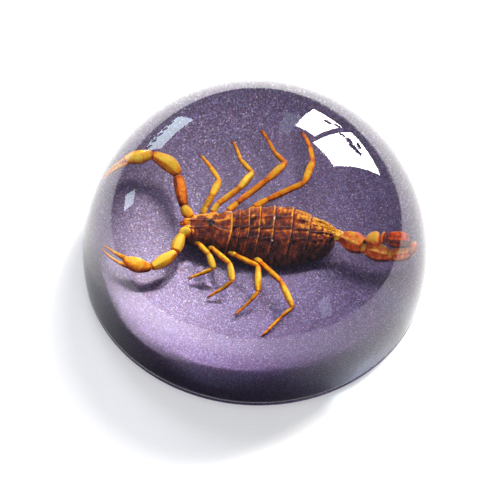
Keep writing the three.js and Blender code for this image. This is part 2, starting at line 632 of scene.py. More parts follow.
flake_tree, given = node_tree(
    "scattered_flakes",
    {"Flake Radius": "Float", "Density": "Float", "Tilt": "Float", "Seed": "Int", "Material": "Material"},
)
corners = {"Vertices": 6, "Radius": (given, "Flake Radius")}
hexagon = add(flake_tree, "GeometryNodeMeshCircle", corners, fill_type="NGON")
tilt_die = die(flake_tree, (-1, -1, -1), (1, 1, 1), 11, data_type="FLOAT_VECTOR")
tilt = {0: tilt_die, "Scale": (given, "Tilt")}
tilt = add(flake_tree, "ShaderNodeVectorMath", tilt, operation="SCALE")
strew(flake_tree, given, hexagon, FLAKE_SIZES, "tint", (0.0, 1.0), 12, pose={"Rotation": tilt})

# Metallised film: bare metal colour, so a flake is bright or dark and never in between.
metal_flake, tree, shader = new_material("metallised_film_flake", metallic=1.0, roughness=0.5)
flake_die = add(tree, "ShaderNodeAttribute", attribute_name="tint")
fill(tree, shader, {"Base Color": add(tree, "ShaderNodeValToRGB", {"Fac": (flake_die, "Fac")}, FLAKE_TINTS)})

bed_rim = (sphere_radius(BACKING_TOP) - BED_EDGE, BACKING_TOP + BED_LIFT)
bed = turned("flake_bed", [(0, BACKING_TOP), bed_rim, (0, BACKING_TOP + 2 * BED_LIFT)], BED_SIDES)
flake_sizes = {
    "Flake Radius": FLAKE_RADIUS,
    "Density": FLAKES_PER_SQUARE_MM / 2 / MM**2,  # the bed has an upper and a lower side
    "Tilt": FLAKE_TILT,
    "Seed": 7,
    "Material": metal_flake,
}
flakes = grow("glitter_flakes", bed, flake_tree, flake_sizes)
bpy.data.objects.remove(bed)
finish_piece(flakes, None)
print(len(flakes.data.polygons), "flakes")

# %% [markdown]
# ## The scorpion's skin
#
# A dried scorpion is made of thin chitin plates, like stiff varnished parchment. The limbs are
# golden amber and the back plates dark red-brown with orange edges, covered in fine granules.
# Sealed in resin, the skin has hardly any shine of its own, because resin and chitin bend light
# almost alike. Every vertex carries a `tone`: 0 is the pale skin at a joint, 1 is the darkest
# middle of a plate. The materials turn it into colour, with blotches and a finer grain, and
# with painted light: paler where the skin faces up and darker where it faces sideways or down,
# as if the light fell from above.

# %% Amber limbs and dark back plates
CHITIN_GRAIN = 0.16 * MM
AMBER_BLOTCH = (0.7 * MM,) * 3
BACK_STREAK = (0.6 * MM, 1.1 * MM, 1.1 * MM)
CHITIN_IOR = 1.56
SPECKLE = 0.12
# Painted light: the skin is painted palest where the normal points this far up.
PAINTED_LIGHT_FACING_UP = 0.9  # upward part of the normal at which the skin is palest


def cuticle(name, ramp, blotch_size, blotch_strength, painted_light_fade, **shader_values):
    """Chitin: colour from the tone attribute, blotched, painted paler on top and darker below, and grained.
    """
    material, tree, shader = new_material(name, ior=CHITIN_IOR, **shader_values)
    where = add(tree, "ShaderNodeTexCoord")

    def noise(vector, scale, **more):
        return add(tree, "ShaderNodeTexNoise", {"Vector": vector, "Scale": scale} | more)

    def spread(value, low, high, start, end):
        limits = {"From Min": low, "From Max": high, "To Min": start, "To Max": end}
        return add(tree, "ShaderNodeMapRange", {"Value": value} | limits)

    stretch = {"Vector": (where, "Object"), "Scale": tuple(1 / size for size in blotch_size)}
    blotch = noise(add(tree, "ShaderNodeMapping", stretch), 1.0, Detail=3.0, Roughness=0.6)
    grain = noise((where, "Object"), 1 / CHITIN_GRAIN)
    surface = add(tree, "ShaderNodeNewGeometry")
    facing = add(tree, "ShaderNodeSeparateXYZ", {"Vector": (surface, "Normal")})
    tone = (add(tree, "ShaderNodeAttribute", attribute_name="tone"), "Fac")
    mottle = spread((blotch, "Fac"), 0.3, 0.7, -1.0, 1.0)
    shade = add(tree, "ShaderNodeMath", {0: mottle, 1: blotch_strength, 2: tone}, operation="MULTIPLY_ADD")
    # Painted light and shade: paler where the normal points up, darker where it points sideways or down.
    painted_top_light = spread((facing, "Z"), 0.0, PAINTED_LIGHT_FACING_UP, painted_light_fade, -painted_light_fade)
    speckle = spread((grain, "Fac"), 0.3, 0.7, -SPECKLE, SPECKLE)
    for change in (painted_top_light, speckle):
        shade = add(tree, "ShaderNodeMath", {0: shade, 1: change}, operation="ADD")
    relief = {"Height": (grain, "Fac"), "Strength": 0.5, "Distance": CHITIN_GRAIN / 3}
    bump = add(tree, "ShaderNodeBump", relief)
    colour = add(tree, "ShaderNodeValToRGB", {"Fac": shade}, ramp)
    fill(tree, shader, {"Base Color": colour, "Normal": bump})
    return material


# Amber chitin: warm golden yellow, brown at the joints; painted shade turns it orange underneath.
AMBER = [(0.0, "ffd43a"), (0.2, "ffac12"), (0.42, "fa8406"), (0.62, "da5a06"), (1.0, "6a1e02")]
amber_cuticle = cuticle(
    "amber_chitin", AMBER, AMBER_BLOTCH, 0.2, 0.4, roughness=0.28, specular_ior_level=0.1
)
# Russet chitin: the tail's deeper fox red.
RUSSET = [(0.0, "ffc038"), (0.18, "ff8614"), (0.4, "fa560c"), (0.65, "cc3808"), (1.0, "3c0c06")]
russet_cuticle = cuticle(
    "russet_chitin", RUSSET, AMBER_BLOTCH, 0.3, 0.36, roughness=0.28, specular_ior_level=0.25
)
# Dark chitin: red-brown to black, streaked across the body, with glowing orange rims.
DARK = [(0.0, "ffb432"), (0.2, "ce5a20"), (0.45, "84372a"), (0.7, "552a2a"), (1.0, "2a1618")]
dark_cuticle = cuticle(
    "dark_chitin", DARK, BACK_STREAK, 0.3, 0.12, roughness=0.3, specular_ior_level=0.15
)
print("three skins:", amber_cuticle.name, russet_cuticle.name, dark_cuticle.name)

# %% [markdown]
# ## Lofting limbs and plates
#
# `curve` draws one smooth line through a few stations. `limb` skins a closed tube along it: each
# station gives a place and the half width and half height there, and both ends are rounded.
# Keels are low ridges that run along a limb; real tails and claws have them, with granules like
# beads on a string. `plate` is a curved scale with a real thickness. `sculpt` joins such lumps
# into one piece and stores each vertex's tone.

# %% Curve, limb and bead
BEAD_SPACING = 0.32
KEEL_SPREAD = 0.16
KEEL_TONE = 0.16
COLLAR_PLACES = (0, 0.05, 0.1, 0.25, 0.5, 0.85, 0.93, 0.97, 1)
COLLAR_TONES = (-0.25, 0.28, 0.12, 0.0, -0.06, 0.0, 0.16, 0.3, -0.25)


def curve(stations, count):
    """A smooth line through stations with any number of columns."""
    stations = np.array(stations, float)
    ends = 2 * stations[0] - stations[1], 2 * stations[-1] - stations[-2]
    knots = np.vstack([ends[0], stations, ends[1]])
    place = np.linspace(0, len(stations) - 1, count)
    left = np.minimum(place.astype(int), len(stations) - 2)
    t = (place - left)[:, None]
    a, b, c, d = (knots[left + step] for step in range(4))
    return 0.5 * (2 * b + (c - a) * t + (2 * a - 5 * b + 4 * c - d) * t**2 + (3 * b - a - 3 * c + d) * t**3)


def ridge(distance, width):
    """A smooth low ridge: 1 on its line, 0 a few widths away."""
    return np.exp(-((distance / width) ** 2))


def round_ends(share, reach, smallest=0):
    """How full a limb is along its length: 1 in the middle, closing in a quarter circle at both ends."""
    to_end = np.clip(np.minimum(share, 1 - share) / reach, 0, 1)
    return np.sqrt(np.clip(1 - (1 - to_end) ** 2, smallest, 1))


def tones_along(share, tone):
    """Tone along a limb: pale skin at both joints, a dark collar beside it, paler in the middle."""
    return tone + np.interp(share, COLLAR_PLACES, COLLAR_TONES)


def limb(stations, tone, rings=24, sides=18, keels=(), beads=0.0, round_share=0.16, keel_tone=KEEL_TONE):
    """A closed tube. Stations are (x, y, z, half width, half height) in mm, keels (degrees, mm)."""
    line = curve(stations, rings)
    middle, width, height = line[:, :3], line[:, 3], line[:, 4]
    along = np.gradient(middle, axis=0)
    along /= np.linalg.norm(along, axis=1, keepdims=True)
    length = np.linalg.norm(np.diff(middle, axis=0), axis=1).sum()
    share = np.linspace(0, 1, rings)
    closing = round_ends(share, round_share)
    angle = np.linspace(0, 2 * np.pi, sides, endpoint=False)
    crown, crest = np.zeros(sides), np.zeros(sides)
    for degrees, keel_height in keels:
        apart = (angle - math.radians(degrees) + math.pi) % (2 * math.pi) - math.pi
        crown += ridge(apart, KEEL_SPREAD)
        crest += keel_height * ridge(apart, KEEL_SPREAD)
    ring_tones = tones_along(share, tone)
    above = np.array((0.0, 0.0, 1.0))
    points, tones = [middle[0]], [ring_tones[0]]
    for ring in range(1, rings - 1):
        above = above - along[ring] * (above @ along[ring])
        above /= np.linalg.norm(above)
        beside = np.cross(along[ring], above)
        lift = crest * (1 + beads * math.cos(2 * math.pi * share[ring] * length / BEAD_SPACING))
        across = (width[ring] + lift) * closing[ring] * np.cos(angle)
        upwards = (height[ring] + lift) * closing[ring] * np.sin(angle)
        points += list(middle[ring] + across[:, None] * beside + upwards[:, None] * above)
        tones += list(ring_tones[ring] + keel_tone * crown)
    return [*points, middle[-1]], tube_faces(rings - 2, sides), [*tones, ring_tones[-1]]


def bead(place, radius, tone=1.0, rings=8, sides=10):
    """A small ball, in mm."""
    x, y, z = place
    stations = [(x - radius, y, z, radius, radius), (x + radius, y, z, radius, radius)]
    return limb(stations, tone, rings=rings, sides=sides, round_share=0.5)


# %% Plate and sculpt
def plate(top, tones, thickness):
    """A closed scale from a grid of points on its upper face (rows, columns, 3), in mm."""
    rows, columns = top.shape[:2]
    under = top.copy()
    under[..., 2] -= thickness
    points = list(top.reshape(-1, 3)) + list(under.reshape(-1, 3))
    below = rows * columns
    faces = []
    for row in range(rows - 1):
        for column in range(columns - 1):
            a = row * columns + column
            b, c, d = a + 1, a + columns + 1, a + columns
            faces.append((a, b, c, d))
            faces.append((below + d, below + c, below + b, below + a))
    rim = list(range(columns))
    rim += [row * columns + columns - 1 for row in range(1, rows)]
    rim += [(rows - 1) * columns + column for column in range(columns - 2, -1, -1)]
    rim += [row * columns for row in range(rows - 2, 0, -1)]
    for here, there in zip(rim, rim[1:] + rim[:1]):
        faces.append((here, here + below, there + below, there))
    return points, faces, [*tones.reshape(-1), *tones.reshape(-1)]


def sculpt(name, lumps, material):
    """Join lumps of (points, faces, tones), in mm, into one finished piece with a tone on each vertex."""
    points, faces, tones = [], [], []
    for lump_points, lump_faces, lump_tones in lumps:
        start = len(points)
        points += [np.array(point) * MM for point in lump_points]
        faces += [tuple(start + corner for corner in face) for face in lump_faces]
        tones += list(lump_tones)
    piece = new_mesh(name, points, faces, values={"tone": tones})
    finish_piece(piece, material)
    return piece


# %% [markdown]
# ## The body line
#
# One table of stations describes the whole trunk, head to tail: where its middle runs,
# how wide it is, and how high its crest and its edges stand above the underside. Carapace,
# back plates and belly all read it, so they fit each other like the real plates do.

# %% Set the body line
BODY_LINE = (
    # x, middle y, half width, crest z, edge z
    (-10.6, 3.3, 1.5, 4.7, 3.9),
    (-10.1, 3.3, 1.9, 4.9, 3.8),
    (-8.4, 3.3, 2.5, 5.2, 3.5),
    (-6.1, 3.15, 3.1, 5.4, 3.3),
    (-3.7, 3.1, 3.5, 5.5, 3.2),
    (-2.5, 3.15, 3.85, 5.55, 3.2),
    (-0.6, 3.25, 4.4, 5.6, 3.1),
    (2.8, 3.35, 4.75, 5.7, 3.1),
    (5.0, 3.4, 4.6, 5.65, 3.1),
    (6.2, 3.35, 4.3, 5.6, 3.1),
    (7.7, 3.2, 3.7, 5.5, 3.2),
    (8.9, 3.05, 3.3, 5.4, 3.3),
    (10.1, 2.95, 2.85, 5.35, 3.4),
    (11.3, 2.7, 2.15, 5.25, 3.6),
    (12.1, 2.55, 1.4, 5.15, 3.9),
)
SWEEP = 0.8  # how far a plate's near edge sweeps forward
NEAR_DROP = 0.7  # how much lower the near edge hangs
body_curve = curve(BODY_LINE, 400)


def body_at(x):
    """Middle y, half width, crest height and edge height of the trunk at x, in mm."""
    return [np.interp(x, body_curve[:, 0], body_curve[:, column]) for column in range(1, 5)]


def bumps(grid, cells, dice):
    """Smooth random heights from about -1 to 1 over a grid, with that many bumps each way."""
    along = curve(dice.uniform(-1, 1, cells), grid.shape[0])
    return curve(along.T, grid.shape[1]).T


def back_grid(x_front, x_rear, rows, columns):
    """A grid of points over the back between two places, and its x and across (-1 to 1) values."""
    x, across = np.meshgrid(np.linspace(x_front, x_rear, rows), np.linspace(-1, 1, columns), indexing="ij")
    middle, half, crest, edge = body_at(x)
    arch = np.clip(1 - np.abs(across) ** 3, 0, 1) ** 0.6
    near = np.clip(-across, 0, 1) ** 2
    edge = edge - NEAR_DROP * near
    grid = np.stack([x - SWEEP * near, middle + across * half, edge + (crest - edge) * arch], axis=-1)
    return grid, x, across


# %% [markdown]
# ## The seven back plates
#
# The tergites overlap like roof tiles: each one rises towards its rear edge and drops onto the
# next. Each has a keel along the middle and one on either side, a thickened orange rear rim,
# and low wrinkles across, from drying. Painted shade darkens each plate's near side, and painted
# light makes its far side paler. The last one is long and tapers to the tail: it has two more
# keels, stronger folds, and a bright orange far side, painted light.

# %% Fold the back plates
PLATE_EDGES = (-3.8, -2.5, -1.1, 0.5, 2.6, 5.3, 7.9, 12.1)
PLATE_RISE, PLATE_DIP = 0.28, 0.12
PLATE_THICKNESS = 0.35
PLATE_OVERLAP = 0.25
KEEL_HEIGHT, SIDE_KEEL_HEIGHT = 0.26, 0.24
SIDE_KEEL, OUTER_KEEL = 0.42, 0.7
WRINKLE_HEIGHT = 0.035
FOLD_HEIGHT = 0.11
RIM_HEIGHT = 0.12
CREST_SHIFT = -0.1
LAST_PLATE = len(PLATE_EDGES) - 2
dice = np.random.default_rng(5)


def back_plate(number):
    """One tergite: number 0 is the first behind the carapace."""
    front, rear = PLATE_EDGES[number], PLATE_EDGES[number + 1]
    last = number == LAST_PLATE
    rows, columns = (44, 91) if last else (18, 61)
    grid, x, across = back_grid(front - PLATE_OVERLAP, rear + 0.05, rows, columns)
    share = np.clip((x - front) / (rear - front), 0, 1)
    from_crest = across - CREST_SHIFT
    side_keels = ridge(np.abs(from_crest) - SIDE_KEEL, 0.045)
    if last:
        side_keels = side_keels + ridge(np.abs(from_crest) - OUTER_KEEL, 0.06)
    keels = KEEL_HEIGHT * ridge(from_crest, 0.045) + SIDE_KEEL_HEIGHT * side_keels
    folds = bumps(grid, (16, 26) if last else (4, 17), dice) * (1.6 if last else 1)
    stain = bumps(grid, (4, 9), dice)
    wave = dice.uniform(0, 2 * math.pi, 2)
    wrinkle = WRINKLE_HEIGHT * np.sin(x * 9 + 2.2 * np.sin(across * 3 + wave[0]) + wave[1])
    grid[..., 2] += PLATE_RISE * share**1.5 - PLATE_DIP * (1 - share)
    grid[..., 2] += (keels + wrinkle + FOLD_HEIGHT * folds) * np.clip(share * 2.5, 0, 1)
    grid[..., 2] += RIM_HEIGHT * ridge(share - 0.965, 0.04)
    near = np.clip(-across, 0, 1)
    # Painted shade: the near side is darker.
    tone = 0.66 - 0.2 * folds + 0.16 * stain + 1.5 * wrinkle + 0.16 * near
    # A pale rear rim, a dark seam in front, and dark and pale lines beside the keels
    tone -= (0.52 + 0.2 * stain) * ridge(share - 0.98, 0.05) * (1 - 0.5 * near)
    tone += 0.34 * ridge(share - 0.05, 0.08) + 0.12 * side_keels
    tone += 0.36 * ridge(from_crest, 0.05) - 0.3 * ridge(from_crest + 0.1, 0.035)
    # Painted light: paler on the far side, which faces the light. Paler also over the rear plates, most on
    # their far half
    tone -= 0.1 * np.clip(across * 4, 0, 1) + 0.28 * np.clip(across * 1.8 - 0.8, 0, 1)
    tone -= np.clip((x - 5.0) / 4.5, 0, 1) * np.clip(across * 1.5 + 0.25, 0, 1)
    return plate(grid, np.clip(tone, 0, 1), PLATE_THICKNESS)


tergites = [
    sculpt(f"tergite_{number + 1}", [back_plate(number)], dark_cuticle)
    for number in range(LAST_PLATE + 1)
]
print(len(tergites), "back plates of", len(tergites[0].data.polygons), "faces and more")

# %% [markdown]
# ## The carapace
#
# The head shield is one plate, narrower in front. It has a low hill with the two middle eyes,
# keels that spread from it to the rear corners, hollows beside them, a raised rear rim, and
# three little side eyes at each front corner.

# %% Press the carapace
CARAPACE_FRONT, CARAPACE_REAR = -10.5, -3.6
CARAPACE_THICKNESS = 0.4
EYE_HILL_X = -6.9
HILL_HEIGHT, LYRE_HEIGHT, BROW_HEIGHT = 0.55, 0.24, 0.18
HOLLOW_DEPTH, FURROW_DEPTH = 0.22, 0.16


def carapace_plate():
    """The head shield as one curved plate."""
    grid, x, across = back_grid(CARAPACE_FRONT, CARAPACE_REAR, 60, 61)
    share = (x - CARAPACE_FRONT) / (CARAPACE_REAR - CARAPACE_FRONT)
    behind = np.clip((x - EYE_HILL_X + 0.3) / 0.8, 0, 1)
    before = np.clip((EYE_HILL_X - x) / 0.8, 0, 1)
    spread = 0.12 + 0.26 * np.clip((x - EYE_HILL_X) / (CARAPACE_REAR - EYE_HILL_X), 0, 1)
    lyre = ridge(np.abs(across) - spread, 0.06) * behind
    hill = HILL_HEIGHT * ridge(x - EYE_HILL_X, 0.75) * ridge(across, 0.22)
    brow = BROW_HEIGHT * ridge(np.abs(across) - 0.16 - 0.2 * (EYE_HILL_X - x) / 3.5, 0.07) * before
    hollow = HOLLOW_DEPTH * ridge(np.abs(across) - 0.62, 0.18) * ridge(share - 0.62, 0.2)
    furrow = FURROW_DEPTH * ridge(across, 0.08) * behind
    rim = 0.12 * ridge(share - 0.975, 0.02) + 0.1 * ridge(share - 0.01, 0.02)
    folds = bumps(grid, (9, 11), dice)
    grid[..., 2] += hill + LYRE_HEIGHT * lyre + brow - hollow - furrow + rim + 0.12 * folds
    grid[..., 0] += 0.35 * ridge(across, 0.35) * np.clip(1 - share * 8, 0, 1)
    # Dark eye hill, pale keels and rims; painted shade darkens the near side and painted light makes the far
    # side paler
    tone = 0.52 - 0.2 * folds - 0.42 * lyre
    tone += 0.25 * np.clip(-across, 0, 1) - 0.34 * np.clip(across * 1.6 - 0.3, 0, 1)
    tone += 0.4 * ridge(x - EYE_HILL_X, 0.6) * ridge(across, 0.2)
    tone -= 0.55 * ridge(share - 0.985, 0.02) + 0.2 * ridge(share - 0.02, 0.06)
    return plate(grid, np.clip(tone, 0, 1), CARAPACE_THICKNESS)


carapace = sculpt("carapace", [carapace_plate()], dark_cuticle)

# %% Set the eyes
EYE_RADIUS, SIDE_EYE_RADIUS = 0.33, 0.13
EYE_APART, EYE_LIFT = 0.36, 0.44
SIDE_EYES_FRONT, SIDE_EYE_STEP = -9.9, 0.38
SIDE_EYE_INSET, SIDE_EYE_LIFT = 0.12, 0.32
EYE_MOTTLE = 0.17 * MM

# Eye lens: black glassy cuticle, each a small round highlight.
black_eye = mottled(
    "eye_lens",
    EYE_MOTTLE,
    [(0.3, "0a0606"), (0.7, "1c100c")],
    roughness=0.08,
    ior=1.6,
    specular_ior_level=0.8,
)
eye_middle, _, eye_crest, _ = body_at(EYE_HILL_X)
eye_lumps = []
for side in (-1, 1):
    eye_lumps.append(bead((EYE_HILL_X, eye_middle + side * EYE_APART, eye_crest + EYE_LIFT), EYE_RADIUS))
for side in (-1, 1):
    for number in range(3):
        x = SIDE_EYES_FRONT + SIDE_EYE_STEP * number
        middle, half, _, edge = body_at(x)
        place = (x, middle + side * (half - SIDE_EYE_INSET), edge + SIDE_EYE_LIFT)
        eye_lumps.append(bead(place, SIDE_EYE_RADIUS))
sculpt("eyes", eye_lumps, black_eye)
print("carapace and", len(eye_lumps), "eyes")

# %% [markdown]
# ## Granules
#
# Chitin back plates are rough to the touch: they carry thousands of hard round granules, which
# catch the light as pinpricks. A Geometry Nodes tree scatters them over the plates' upper side.
# Real granules are about 0.05 mm across; these are 0.11 mm, or they would not show at all.

# %% Strew the granules
GRANULE_RADIUS = 0.055 * MM
GRANULES_PER_SQUARE_MM = 6.0
GRANULE_SIZES = (0.5, 1.2)
GRANULE_TONES = (0.2, 0.8)
FIRST_GRANULE_SEED = 30
UPPER_SIDE = 0.25  # least upward part of the normal where granules lie

granule_tree, given = node_tree(
    "granules",
    {"Granule Radius": "Float", "Density": "Float", "Seed": "Int", "Material": "Material"},
)
lie = add(granule_tree, "ShaderNodeSeparateXYZ", {0: add(granule_tree, "GeometryNodeInputNormal")})
upper = {"A": (lie, "Z"), "B": UPPER_SIDE}
upper = add(granule_tree, "FunctionNodeCompare", upper, operation="GREATER_THAN")
grain_size = {"Radius": (given, "Granule Radius"), "Subdivisions": 1}
grain = add(granule_tree, "GeometryNodeMeshIcoSphere", grain_size)
strew(granule_tree, given, grain, GRANULE_SIZES, "tone", GRANULE_TONES, 21, only={"Selection": upper})
for number, shield in enumerate([carapace, *tergites]):
    granule_sizes = {
        "Granule Radius": GRANULE_RADIUS,
        "Density": GRANULES_PER_SQUARE_MM / MM**2,
        "Seed": FIRST_GRANULE_SEED + number,
        "Material": dark_cuticle,
    }
    granules = grow(f"granules_{shield.name}", shield, granule_tree, granule_sizes)
    finish_piece(granules, None)
print("granule faces on the last plate", len(granules.data.polygons))

# %% [markdown]
# ## Belly and flanks
#
# Under the back plates the trunk is a soft dark sack, pleated at every plate. It is one loft
# with shallow grooves. The pair of combs behind the legs, the pectines, is something that only
# scorpions have. Each is a row of rounded teeth along a line, grown by Geometry Nodes. Two small
# jaws, the chelicerae, stick out in front, each with two fingers.

# %% Fill the belly
BELLY_FRONT, BELLY_REAR = -9.9, 12.0
BELLY_HEIGHT = 1.75
WIDEST_HEIGHT = 2.5
NEAR_FLANK = 0.34
PLEAT_DEPTH = 0.05
BELLY_TONE, PLEAT_TONE = 0.78, 0.2


def belly_sack(rings=90, sides=36):
    """The trunk below the back plates, as one lofted skin."""
    x = np.linspace(BELLY_FRONT, BELLY_REAR, rings)
    middle, half, crest, _ = body_at(x)
    flank = NEAR_FLANK * np.clip(1 - ((x - 3.0) / 9) ** 2, 0, 1)
    middle, half = middle - flank, half + flank * 0.7
    pleat = sum(ridge(x - place, 0.14) for place in PLATE_EDGES)
    points, tones = [], []
    angle = np.linspace(0, 2 * np.pi, sides, endpoint=False)
    share = np.linspace(0, 1, rings)
    closing = round_ends(share, 0.06)
    for ring in range(rings):
        low = BELLY_HEIGHT + 1.3 * abs(2 * share[ring] - 0.95) ** 3
        high = crest[ring] - 0.55
        widest = max(WIDEST_HEIGHT, low + 0.3)
        centre = np.array([x[ring], middle[ring], widest])
        swell = closing[ring] * (1 - PLEAT_DEPTH * pleat[ring])
        across = (half[ring] * 0.985) * swell * np.sign(np.cos(angle)) * np.abs(np.cos(angle)) ** 0.8
        upwards = np.where(np.sin(angle) > 0, high - widest, widest - low) * swell * np.sin(angle)
        at_end = ring in (0, rings - 1)
        points += [centre] if at_end else list(centre + np.stack([0 * across, across, upwards], axis=-1))
        tones += [BELLY_TONE - PLEAT_TONE * pleat[ring]] * (1 if at_end else sides)
    return points, tube_faces(rings - 2, sides), tones


belly = sculpt("belly", [belly_sack()], dark_cuticle)
print("belly faces", len(belly.data.polygons))

# %% Grow the combs
TOOTH_LENGTH, TOOTH_WIDTH, TOOTH_SPACING = 0.75 * MM, 0.22 * MM, 0.2 * MM
COMB_LINES = {
    "comb_right": [(-4.0, 4.0, 2.0), (-3.2, 5.0, 1.98), (-2.0, 5.9, 2.0)],
    "comb_left": [(-4.0, 2.2, 2.0), (-3.2, 1.2, 1.98), (-2.0, 0.4, 2.0)],
}

comb_tree, given = node_tree(
    "comb_teeth",
    {"Tooth Length": "Float", "Tooth Width": "Float", "Spacing": "Float", "Material": "Material"},
)
line = add(comb_tree, "GeometryNodeMeshToCurve", {"Mesh": (given, "Geometry")})
steps = {"Curve": line, "Length": (given, "Spacing")}
spots = add(comb_tree, "GeometryNodeCurveToPoints", steps, mode="LENGTH")
ball = add(comb_tree, "GeometryNodeMeshUVSphere", {"Segments": 8, "Rings": 6, "Radius": 0.5})
size = {"X": (given, "Tooth Width"), "Y": (given, "Tooth Width"), "Z": (given, "Tooth Length")}
tooth = {"Geometry": ball, "Scale": add(comb_tree, "ShaderNodeCombineXYZ", size)}
tooth = add(comb_tree, "GeometryNodeTransform", tooth)
teeth = {"Points": (spots, "Points"), "Instance": tooth, "Rotation": (spots, "Rotation")}
teeth = add(comb_tree, "GeometryNodeInstanceOnPoints", teeth)
close_tree(comb_tree, add(comb_tree, "GeometryNodeSetShadeSmooth", {"Geometry": teeth}), given)


def wire(name, points, edges, values=None):
    """A wire of points in mm, for a tree to grow along, with named values on its points."""
    return put_in_scene(name, raw_mesh(name, [np.array(point) * MM for point in points], edges, [], values))


comb_sizes = {
    "Tooth Length": TOOTH_LENGTH,
    "Tooth Width": TOOTH_WIDTH,
    "Spacing": TOOTH_SPACING,
    "Material": amber_cuticle,
}
for name, path in COMB_LINES.items():
    source = wire(name + "_line", path, [(0, 1), (1, 2)])
    comb = grow(name, source, comb_tree, comb_sizes)
    bpy.data.objects.remove(source)
    finish_piece(comb, None)
print("comb faces", len(comb.data.polygons))

# %% Shape the jaws
JAW_MIDDLE, JAW_APART = 3.35, 0.62
JAW_FINGER_SHIFT = 0.2

jaw_lumps = []
for side in (-1, 1):
    y = JAW_MIDDLE + side * JAW_APART
    jaw = [(-9.4, y, 4.4, 0.5, 0.45), (-10.3, y, 4.5, 0.66, 0.56), (-10.95, y, 4.35, 0.45, 0.4)]
    jaw_lumps.append(limb(jaw, 0.6))
    for shift in (-JAW_FINGER_SHIFT, JAW_FINGER_SHIFT):
        root = (-10.8, y + shift, 4.3, 0.2, 0.18)
        bend = (-11.15, y + shift * 1.2, 4.15, 0.15, 0.13)
        tip = (-11.4, y + shift * 0.4, 3.95, 0.08, 0.08)
        jaw_lumps.append(limb([root, bend, tip], 0.95))
sculpt("chelicerae", jaw_lumps, amber_cuticle)
print("jaws of", len(jaw_lumps), "parts")

# %% [markdown]
# ## Tail
#
# The tail has five keeled segments and the telson, a bulb with the sting. It bends up at its
# far end and comes back over itself, so the fifth segment and the bulb lie above the third and
# fourth. Each segment is narrow at its joints. The fifth is the darkest.

# %% Link the tail
TAIL_KEELS = ((62, 0.2), (118, 0.2), (12, 0.15), (168, 0.15), (222, 0.12), (318, 0.12), (270, 0.1))
TAIL_KEEL_TONE = -0.16
TAIL_SWELL = ((0.0, 0.42), (0.16, 0.8), (0.48, 1.06), (0.82, 0.84), (1.0, 0.42))
TAIL_SEGMENTS = (
    # start, end, half width, half height, tone
    ((11.5, 2.9, 4.9), (13.3, 2.3, 5.1), 0.8, 0.75, 0.24),
    ((13.1, 2.35, 5.1), (17.0, 0.4, 5.4), 1.55, 1.4, 0.6),
    ((17.0, 0.1, 5.4), (21.8, -0.6, 5.1), 1.32, 1.25, 0.58),
    ((21.7, -0.65, 5.1), (26.3, 0.15, 5.4), 1.2, 1.15, 0.6),
    ((26.4, 1.4, 6.9), (20.8, 1.2, 7.1), 1.35, 1.25, 1.0),
)
TAIL_JOINTS = (
    # place, radius
    ((13.2, 2.3, 5.1), 0.8),
    ((17.0, 0.25, 5.4), 0.82),
    ((21.75, -0.62, 5.1), 0.85),
)
ELBOW = ((25.9, 0.15, 5.4, 0.95, 0.95), (27.0, 0.6, 6.1, 1.1, 1.1), (26.6, 1.3, 6.8, 1.0, 1.0))
BULB_JOINT = ((20.7, 1.3, 7.15, 1.05, 1.0), (20.2, 1.35, 7.15, 1.05, 1.0))
BULB = (
    (20.0, 1.3, 7.1, 0.7, 0.7),
    (19.2, 1.15, 7.1, 1.22, 1.15),
    (18.2, 0.9, 7.0, 1.05, 1.0),
    (17.3, 0.6, 6.8, 0.5, 0.5),
)
STING = (
    (17.5, 0.7, 6.85, 0.45, 0.45),
    (16.95, 1.0, 6.3, 0.3, 0.3),
    (17.1, 1.6, 5.5, 0.16, 0.16),
    (17.6, 1.9, 4.8, 0.05, 0.05),
)


def tail_segment(start, end, width, height, tone):
    """One segment: swollen in the middle, waisted at both joints, with beaded keels."""
    start, end = np.array(start), np.array(end)
    stations = [(*(start + (end - start) * share), width * size, height * size) for share, size in TAIL_SWELL]
    return limb(stations, tone, rings=56, sides=48, keels=TAIL_KEELS, beads=0.45, keel_tone=TAIL_KEEL_TONE)


tail_lumps = [tail_segment(*segment) for segment in TAIL_SEGMENTS]
tail_lumps += [bead(place, radius, tone=0.3, rings=14, sides=20) for place, radius in TAIL_JOINTS]
tail_lumps.append(limb(ELBOW, 0.5, rings=24, sides=24))
tail_lumps.append(limb(BULB_JOINT, 0.45, rings=14, sides=24))
tail_lumps.append(limb(BULB, 0.22, rings=36, sides=30, round_share=0.2))
tail_lumps.append(limb(STING, 0.95, rings=24, sides=14, round_share=0.05))
tail = sculpt("tail_and_sting", tail_lumps, russet_cuticle)
print("tail faces", len(tail.data.polygons))

# %% [markdown]
# ## Scraps of pale membrane and painted highlights
#
# As the specimen dries, the soft skin between two plates turns white and splits. Four pale scraps
# show: one behind the carapace, a long one on a back seam, one on the near side and one under
# the tail. They stand partly for that membrane and partly as painted highlights where the plates
# glint. They are small flattened lumps that lie on the plates.

# %% Lay the scraps
FIBRE = 0.2 * MM
MEMBRANE_AND_GLINT_SCRAPS = (
    ((-4.2, 5.75, 4.95, 0.16, 0.1), (-3.7, 5.9, 4.9, 0.2, 0.12)),
    ((2.45, 5.35, 5.75, 0.13, 0.12), (2.6, 4.7, 6.0, 0.15, 0.12), (2.6, 4.1, 6.05, 0.1, 0.1)),
    ((2.35, 0.75, 5.62, 0.14, 0.12), (2.65, 0.6, 5.6, 0.12, 0.1)),
    ((16.7, -0.4, 4.75, 0.2, 0.16), (17.2, -0.25, 4.85, 0.16, 0.14)),
)

